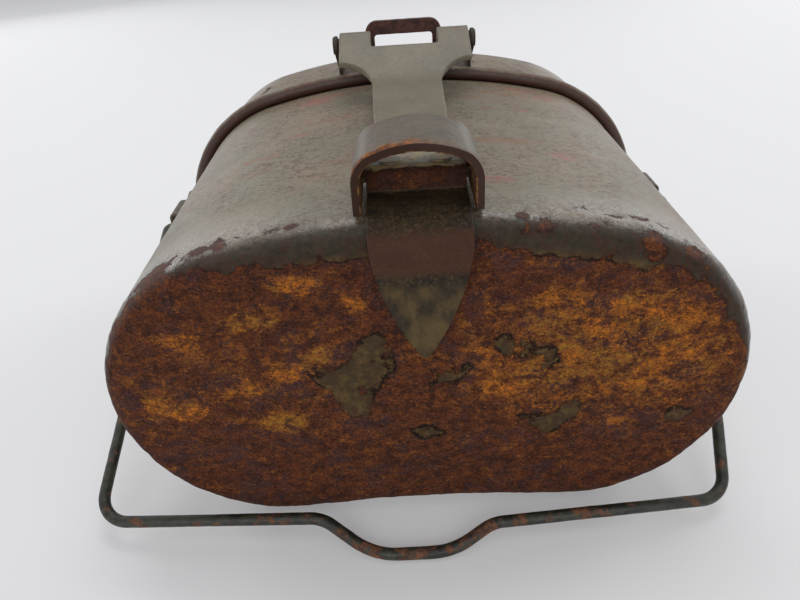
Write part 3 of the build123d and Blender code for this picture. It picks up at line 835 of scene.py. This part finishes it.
def shell_paint(name):
    """The pot's and the lid's finish: paint over steel, with bare rusty metal where the paint has gone."""
    s = Shader(name)
    travel = s.field("travel")
    fine = s.math("SUBTRACT", s.noise(1.5, 5, 0.65, shift=0.3), 0.5)
    rough_edge = s.math("SUBTRACT", s.noise(0.9, 6, 0.85, shift=0.8), 0.5)
    break_up = s.math("ADD", s.times(fine, 3.0), s.times(rough_edge, 5.0))
    border = s.math("ADD", s.field("bare"), break_up)
    rusted = s.fade(border, -0.25, 0.25)

    fleck = s.noise(0.8, 4, 0.75, (1.3, 1, 1.3), 8.8)
    paint = wall_paint(s, fleck)
    # The rounded edge is painted darker, black-olive mottled with brown: painted shade where the edge turns
    # from the light.
    edge = s.times(s.fade(travel, EDGE_SHADE_FROM, EDGE_SHADE_FULL), s.fade(travel, EDGE_SHADE_ENDS, EDGE_SHADE_FADES))
    edge_shade_tone = s.mix(s.fade(s.noise(3, 6, 0.8, shift=20.3), 0.42, 0.60), EDGE_SHADE_BLACK, EDGE_SHADE_BROWN)
    paint = s.mix(s.times(edge, 0.9), paint, edge_shade_tone)
    # Flakes on the base are mottled brown and olive.
    old = s.times(s.fade(travel, EDGE_TRAVEL - 1, EDGE_TRAVEL + 3), s.fade(s.mm("Y"), 6, 3))
    mottle = s.fade(s.noise(3.5, 6, 0.72, shift=13.7), 0.40, 0.62)
    paint = s.mix(old, paint, s.mix(mottle, FLAKE_BROWN, FLAKE_OLIVE))
    # Rust shows through in spots where the paint thins out.
    thin = s.times(s.fade(border, -5, -0.5), s.fade(s.noise(1.8, 6, 0.85, shift=22.5), 0.46, 0.56))
    paint = s.mix(s.times(thin, 0.75), paint, RUST_UNDER_PAINT)

    colour = s.mix(rusted, paint, rust_colour(s, s.field("orange")))
    # A dark line where a flake lifts from the rust.
    lifted = s.fade(s.noise(7, 2, 0.5, shift=14.8), 0.43, 0.52)
    crack = s.times(s.near(border, 0.30, 0.20, 0.50), lifted, old)
    colour = s.mix(s.times(crack, 0.85), colour, CRACK)
    colour = s.mix(s.field("rim"), colour, rim_colour(s))
    steel = s.mix(s.fade(s.noise(10, 5, 0.6, shift=15.9), 0.4, 0.6), STEEL_GREY, STEEL_BROWN)
    colour = s.mix(s.field("inside"), colour, steel)

    # The wall turns glossy towards the rounded edge.
    satin = s.blend(s.noise(5, 5, 0.7, shift=16.1), 0.32, 0.60)
    satin = s.blend(s.math("MAXIMUM", old, s.times(edge, 0.6)), satin, 0.55)
    gloss = s.times(s.fade(travel, GLOSS_FROM, GLOSS_FULL), s.fade(travel, GLOSS_ENDS, GLOSS_FADES))
    satin = s.blend(s.times(gloss, 0.85), satin, s.blend(s.fade(fleck, 0.42, 0.58), 0.12, 0.34))
    roughness = s.blend(rusted, satin, 0.8)

    lumps = s.math("ADD", s.times(s.noise(2.2, 4, 0.7, shift=17.2), 0.65), s.times(fleck, 0.35))
    rust_height = s.noise(1.1, 6, 0.75, (1.5, 1, 1), 18.3)
    paint_height = s.math("ADD", s.times(lumps, 0.5), 0.45)
    height = s.blend(rusted, paint_height, s.times(rust_height, 0.8))
    shine = s.blend(s.math("MAXIMUM", rusted, s.fade(travel, 1.0, 5.0)), 0.5, 0.12)
    shine = s.math("ADD", shine, s.times(gloss, 0.5))
    return s.finish(colour, roughness, height, 0.6, spec=shine)


STEP_TOP_Z = 56.0  # the handle's face before and past its step
STEP_FOOT_Z = 51.4
STEP_FOOT_Y = 13.3
STEP_RUST_Y = 15.6
# Where the painted highlight runs along the step's top bend.
HIGHLIGHT_LINE_Y = 16.6
UNDER_KEEPER_Y = 31.0  # worn paint from here towards the step
TONGUE_Y = 12.6
BAND_Z = 42.5  # the red-brown band across the tongue
LEAF_Z = 34.0  # olive paint below this height


def neck_paint(s, fleck):
    """Plain grey-green paint with fine flecks and a little red showing through."""
    neck = s.mix(s.fade(s.noise(15, 4, 0.5, shift=1.5), 0.35, 0.65), NECK_GREEN, NECK_BROWN)
    neck = s.mix(s.times(s.fade(fleck, 0.50, 0.36), 0.4), neck, NECK_DIRT)
    neck = s.mix(s.times(s.fade(fleck, 0.56, 0.70), 0.3), neck, NECK_CHALK)
    red = s.fade(s.noise(4.5, 5, 0.7, shift=2.6), 0.62, 0.70)
    return s.mix(s.times(red, 0.5), neck, NECK_RED)


def tongue_paint(s, y, z_rough, fleck):
    """Dark oily brown, with a red-brown band across and olive paint at the tip."""
    cloudy = s.fade(s.noise(6, 5, 0.62, (1.6, 1, 1), 7.0), 0.38, 0.62)
    tongue = s.mix(cloudy, TONGUE_BLACK, TONGUE_BROWN)
    tongue = s.mix(s.times(s.fade(fleck, 0.50, 0.40), 0.5), tongue, TONGUE_PIT)
    tongue = s.mix(s.times(s.fade(fleck, 0.53, 0.64), 0.35), tongue, TONGUE_CHALK)
    face = s.fade(y, 4, 1)
    band = s.times(s.near(z_rough, BAND_Z, 3.5, 3.0), face)
    tongue = s.mix(s.times(band, 0.7), tongue, TONGUE_BAND)
    leaf = s.times(s.fade(z_rough, LEAF_Z + 2, LEAF_Z - 2), face)
    patches = s.fade(s.noise(8, 4, 0.6, (1, 1, 1.8), 8.1), 0.40, 0.62)
    return s.mix(s.times(leaf, 0.8), tongue, s.mix(patches, LEAF_BROWN, LEAF_OLIVE))


def handle_paint(name):
    """The handle: paint on the neck, pale worn paint under the keeper, rust on the step, then the tongue."""
    s = Shader(name)
    y = s.mm("Y")
    z = s.mm("Z")
    wander = s.times(s.math("SUBTRACT", s.noise(4, 5, 0.7, shift=0.9), 0.5), 4.0)
    y_rough = s.math("ADD", y, wander)
    z_rough = s.math("ADD", z, wander)
    fleck = s.noise(0.8, 4, 0.72, shift=2.2)
    pale = s.mix(s.fade(s.noise(5, 5, 0.7, shift=3.7), 0.46, 0.6), WORN_GREY, WORN_SAND)
    worn_paint = s.mix(s.fade(s.noise(3, 6, 0.8, shift=4.8), 0.54, 0.64), pale, WORN_RUST)
    colour = s.mix(s.fade(y_rough, UNDER_KEEPER_Y + 2, UNDER_KEEPER_Y - 2), neck_paint(s, fleck), worn_paint)
    # A painted highlight: a cream line along the top bend of the handle's step.
    cream_highlight = s.times(s.near(y_rough, HIGHLIGHT_LINE_Y, 0.5, 0.8), s.fade(s.noise(3, 4, 0.7, shift=5.9), 0.36, 0.5))
    colour = s.mix(s.times(cream_highlight, 0.8), colour, CREAM_HIGHLIGHT)
    step_rust = s.mix(0.45, rust_colour(s, 0.2), STEP_BROWN)
    riser = s.times(s.fade(z, STEP_TOP_Z, STEP_TOP_Z - 0.5), s.fade(y, 17.0, 16.0))
    past_step = s.fade(y_rough, STEP_RUST_Y + 0.4, STEP_RUST_Y - 0.4)
    colour = s.mix(s.math("MAXIMUM", riser, past_step), colour, step_rust)
    foot = s.times(s.near(z, STEP_FOOT_Z, 0.15, 0.2), s.near(y, STEP_FOOT_Y, 0.6, 0.5))
    colour = s.mix(s.times(foot, 0.6), colour, STEP_FOOT_SAND)
    colour = s.mix(s.fade(y, TONGUE_Y + 0.4, TONGUE_Y - 0.4), colour, tongue_paint(s, y, z_rough, fleck))
    # Edges painted pale: metal rubbed bare there, and a painted highlight along them.
    edge = s.fade(s.node("ShaderNodeNewGeometry").outputs["Pointiness"], 0.53, 0.60)
    rubbed = s.times(edge, s.fade(s.noise(3, 3, 0.6, shift=9.2), 0.35, 0.6), 0.7)
    colour = s.mix(rubbed, colour, RUBBED_METAL_AND_HIGHLIGHT)
    dull = s.fade(y_rough, 20, 16)
    roughness = s.blend(dull, s.blend(s.noise(5, 3, 0.5, shift=10.3), 0.34, 0.52), 0.55)
    roughness = s.blend(s.near(y_rough, 15, 2.0, 2.0), roughness, 0.85)
    smooth_height = s.times(s.noise(2.5, 3, 0.5, shift=11.4), 0.3)
    height = s.blend(dull, smooth_height, s.noise(1.0, 6, 0.7, shift=12.5))
    return s.finish(colour, roughness, height, 0.35, spec=s.blend(dull, 0.42, 0.2))


KEEPER_RUST_DEPTH = 4.0


def keeper_paint(name):
    """The strap keeper: paint outside, rust on its front edge and inside."""
    s = Shader(name)
    x = s.mm("X")
    from_front = s.math("SUBTRACT", s.mm("Y"), float(keeper_low[1]))
    from_back = s.math("SUBTRACT", s.mm("Y"), float(keeper_high[1]))
    paint = s.mix(s.fade(s.noise(8, 4, 0.5, shift=1.2), 0.35, 0.65), KEEPER_GREEN, KEEPER_BROWN)
    fleck = s.noise(0.8, 5, 0.75, shift=0.8)
    paint = s.mix(s.times(s.fade(fleck, 0.50, 0.38), 0.5), paint, KEEPER_DIRT)
    paint = s.mix(s.times(s.fade(fleck, 0.52, 0.64), 0.35), paint, KEEPER_CHALK)
    brown = s.times(s.fade(s.noise(4, 7, 0.8, shift=1.8), 0.50, 0.60), s.fade(x, 8, -12))
    paint = s.mix(s.times(brown, 0.6), paint, KEEPER_STAIN)
    # Orange rust creeps back from the front edge, mostly on the left.
    wander = s.times(s.math("SUBTRACT", s.noise(3.5, 5, 0.65, shift=0.4), 0.5), 9.0)
    creep = s.fade(s.math("ADD", from_front, wander), KEEPER_RUST_DEPTH, KEEPER_RUST_DEPTH - 2.5)
    rusty = s.times(creep, s.math("ADD", s.times(s.fade(x, 6, -8), 0.75), 0.25))
    orange = s.mix(s.fade(s.noise(1.6, 6, 0.8, shift=2.3), 0.44, 0.62), KEEPER_RUST, KEEPER_ORANGE)
    colour = s.mix(rusty, paint, orange)
    back_line = s.times(s.fade(from_back, -1.4, -0.6), s.fade(s.noise(2, 3, 0.6, shift=3.4), 0.4, 0.6))
    colour = s.mix(s.times(back_line, 0.8), colour, KEEPER_BACK_RUST)
    face = s.fade(from_front, 0.55, 0.15)
    colour = s.mix(face, colour, KEEPER_FACE)
    inner = s.field("inward")
    ochre = s.mix(s.fade(s.noise(1.6, 5, 0.7, shift=4.5), 0.4, 0.62), KEEPER_INSIDE_DARK, KEEPER_INSIDE_OCHRE)
    colour = s.mix(inner, colour, ochre)
    rough = s.math("MAXIMUM", rusty, inner)
    smooth_height = s.times(s.noise(2, 3, 0.5, shift=5.6), 0.35)
    height = s.blend(rough, smooth_height, s.noise(0.9, 6, 0.7, shift=6.7))
    shine = s.blend(s.math("MAXIMUM", face, rough), 0.42, 0.15)
    return s.finish(colour, s.blend(rough, 0.42, 0.8), height, 0.4, spec=shine)


def rusty_metal(name, dark, warm, ochre_share, rough, side_paint=None):
    """Dark metal with a skin of rust, and side_paint, if given, at the outer sides of the hinge."""
    s = Shader(name)
    colour = s.mix(s.fade(s.noise(2.5, 5, 0.65, shift=1.0), 0.38, 0.62), dark, warm)
    ochre = s.fade(s.noise(1.6, 5, 0.7, shift=2.1), 0.58, 0.7)
    colour = s.mix(s.times(ochre, ochre_share), colour, METAL_OCHRE)
    if side_paint:
        painted = s.fade(s.math("ABSOLUTE", s.mm("X")), 21.5, 23.5)
        colour = s.mix(painted, colour, side_paint)
    height = s.noise(0.8, 5, 0.7, shift=3.2)
    return s.finish(colour, rough, height, 0.25, spec=0.3)


def wire_finish(name):
    """The bail: black-green paint, rubbed through to brown rust, mostly at the hand-hold."""
    s = Shader(name)
    from_middle = s.math("ABSOLUTE", s.mm("X"))
    dark = s.mix(s.fade(s.noise(3, 4, 0.6, shift=1.0), 0.4, 0.6), WIRE_BLACK, WIRE_GREEN)
    held = s.times(s.fade(from_middle, 34, 12), 0.10)
    patches = s.fade(s.math("ADD", s.noise(5, 5, 0.65, shift=2.1), held), 0.54, 0.62)
    rust = s.mix(s.fade(s.noise(1.8, 5, 0.7, shift=3.2), 0.4, 0.6), WIRE_RUST_DARK, WIRE_RUST)
    colour = s.mix(s.times(patches, 0.85), dark, rust)
    roughness = s.blend(patches, 0.38, 0.75)
    return s.finish(colour, roughness, s.noise(0.9, 5, 0.65, shift=4.3), 0.25, spec=0.5)


def dress(obj, material):
    """Gives a piece or a CAD node its one material."""
    obj.data.materials.clear()
    obj.data.materials.append(material)


def mark_inside_of_loop(loop, low, high):
    """Stores where the loop's surface faces its own middle, as the field inward."""
    aim = points_of(loop) - (low + high) / 2
    aim[:, 1] = 0
    reach = np.maximum(np.linalg.norm(aim, axis=1), 1e-6)
    inward = -(normals_of(loop) * aim).sum(axis=1) / reach
    set_field(loop, "inward", smooth(0.1, 0.5, inward))


mark_inside_of_loop(worn["strap_keeper"], keeper_low, keeper_high)

shell_material = shell_paint("shell_paint")
ear_material = rusty_metal("ear_paint", EAR_DARK, EAR_WARM, 0.4, 0.5)
handle_material = handle_paint("handle_finish")
rivet_material = rusty_metal("rivet_steel", RIVET_DARK, RIVET_WARM, 0.5, 0.6)
# The hinge's outer sides get dark brown paint that also stands in for the shade there.
bracket_material = rusty_metal("bracket_metal", HINGE_DARK, HINGE_WARM, 0.25, 0.55, HINGE_SIDES_PAINT_AND_SHADE)

dress(pot_body, shell_material)
dress(lid_body, shell_material)
for node in ("bail_ear_left", "bail_ear_right"):
    dress(worn[node], ear_material)
dress(worn["handle_strip"], handle_material)
dress(worn["strap_keeper"], keeper_paint("keeper_finish"))
dress(worn["strap_keeper_rivets"], handle_material)
for node in ("bail_ear_rivets_left", "bail_ear_rivets_right", "lid_hinge_rivets"):
    dress(worn[node], rivet_material)
dress(worn["lid_hinge_bracket"], bracket_material)
dress(frame["nodes"]["hinge_pins"], bracket_material)
dress(frame["nodes"]["lid_rim_wire"], rivet_material)
dress(worn["bail_wire"], wire_finish("bail_paint"))


# --- Floor, light and camera ---------------------------------------------------------------------------
# The tin lies on the edge of its base and on the lid's rim, so the floor slopes a little. It is a wide pale
# sheet that curves up far behind. These sizes are in metres.
FLOOR_HALF = 6.0
FLOOR_BEND_START = 2.0
FLOOR_BEND = 0.25  # rise one metre past where the bend starts
FLOOR_STRIP = 0.3  # length of one strip of the sheet
FLOOR_GAP = 0.1 * MM

floor_slope = -math.atan2(RIM_GROW + RIM_R, RIM_Y - BASE_EDGE_R)
floor_place = (0, BASE_EDGE_R * MM, pot_low[2] * MM - FLOOR_GAP)


def floor_card():
    """Pale matt card, lit a little from within so that shadows on it stay soft."""
    material = bpy.data.materials.new("floor_card")
    material.use_nodes = True
    surface = material.node_tree.nodes["Principled BSDF"]
    surface.inputs["Base Color"].default_value = (0.56, 0.56, 0.57, 1)
    surface.inputs["Emission Color"].default_value = (0.99, 0.99, 1, 1)
    surface.inputs["Emission Strength"].default_value = 0.20
    surface.inputs["Roughness"].default_value = 0.7
    surface.inputs["Specular IOR Level"].default_value = 0.2
    return material


def make_floor():
    points = []
    for y in np.arange(-FLOOR_HALF, FLOOR_HALF + FLOOR_STRIP / 2, FLOOR_STRIP):
        z = FLOOR_BEND * max(0.0, y - FLOOR_BEND_START) ** 2
        points += [(-FLOOR_HALF, y, z), (FLOOR_HALF, y, z)]
    faces = [(a, a + 1, a + 3, a + 2) for a in range(0, len(points) - 2, 2)]
    mesh = bpy.data.meshes.new("floor")
    mesh.from_pydata(points, [], faces)
    mesh.polygons.foreach_set("use_smooth", np.ones(len(mesh.polygons), bool))
    mesh.materials.append(floor_card())
    floor = bpy.data.objects.new("floor", mesh)
    bpy.context.scene.collection.objects.link(floor)
    floor.matrix_world = Matrix.Translation(floor_place) @ Matrix.Rotation(floor_slope, 4, "X")


def area_light(name, place, target, size, power, colour=(1, 1, 1)):
    """A soft rectangular light aimed at a point. The camera doesn't see the light itself."""
    data = bpy.data.lights.new(name, "AREA")
    data.shape = "RECTANGLE"
    data.size, data.size_y = size
    data.energy = power
    data.color = colour
    light = bpy.data.objects.new(name, data)
    bpy.context.scene.collection.objects.link(light)
    light.visible_camera = False
    light.location = place
    light.rotation_euler = (Vector(target) - Vector(place)).to_track_quat("-Z", "Y").to_euler()


make_floor()
# Name, place, target, size and power. The low lights behind give the wall its sheen near the rounded edge.
area_light("overhead", (0.10, 0.80, 1.60), (0, 0.1, 0), (1.5, 1.0), 5.0)
area_light("strip", (0.15, 0.55, 1.50), (0, 0.1, 0), (1.2, 0.14), 4.5)
area_light("left_panel", (-1.45, 0.85, 0.75), (0, 0.05, 0), (0.6, 0.9), 5.5, (0.96, 0.97, 1))
area_light("right_panel", (1.5, 0.85, 0.85), (0, 0.05, 0), (0.6, 0.9), 5.5)
area_light("back_left", (-0.95, 1.3, 0.38), (0, 0.05, 0.03), (0.9, 0.5), 2.0)
area_light("back_right", (0.95, 1.3, 0.38), (0, 0.05, 0.03), (0.9, 0.5), 2.2)
area_light("front_fill", (-0.1, -1.7, 1.0), (0, 0, 0), (1.6, 1.0), 14.0)

world = bpy.data.worlds.new("studio")
world.use_nodes = True
world.node_tree.nodes["Background"].inputs["Color"].default_value = (0.93, 0.94, 0.96, 1)
world.node_tree.nodes["Background"].inputs["Strength"].default_value = 0.48
bpy.context.scene.world = world
bpy.context.scene.view_settings.view_transform = "Standard"

CAMERA_LENS = 29.19  # focal length in millimetres
CAMERA_PLACE = (-0.0031, -0.1320, 0.1145)
CAMERA_PITCH = 0.578  # radians below level
CAMERA_YAW = 0.019
CAMERA_ROLL = -0.068
camera_data = bpy.data.cameras.new("camera")
camera_data.lens = CAMERA_LENS
camera_data.clip_start = 0.01
camera = bpy.data.objects.new("camera", camera_data)
bpy.context.scene.collection.objects.link(camera)
aim_turn = Matrix.Rotation(CAMERA_YAW, 4, "Z") @ Matrix.Rotation(math.pi / 2 - CAMERA_PITCH, 4, "X")
camera.matrix_world = Matrix.Translation(CAMERA_PLACE) @ aim_turn @ Matrix.Rotation(CAMERA_ROLL, 4, "Z")
bpy.context.scene.camera = camera
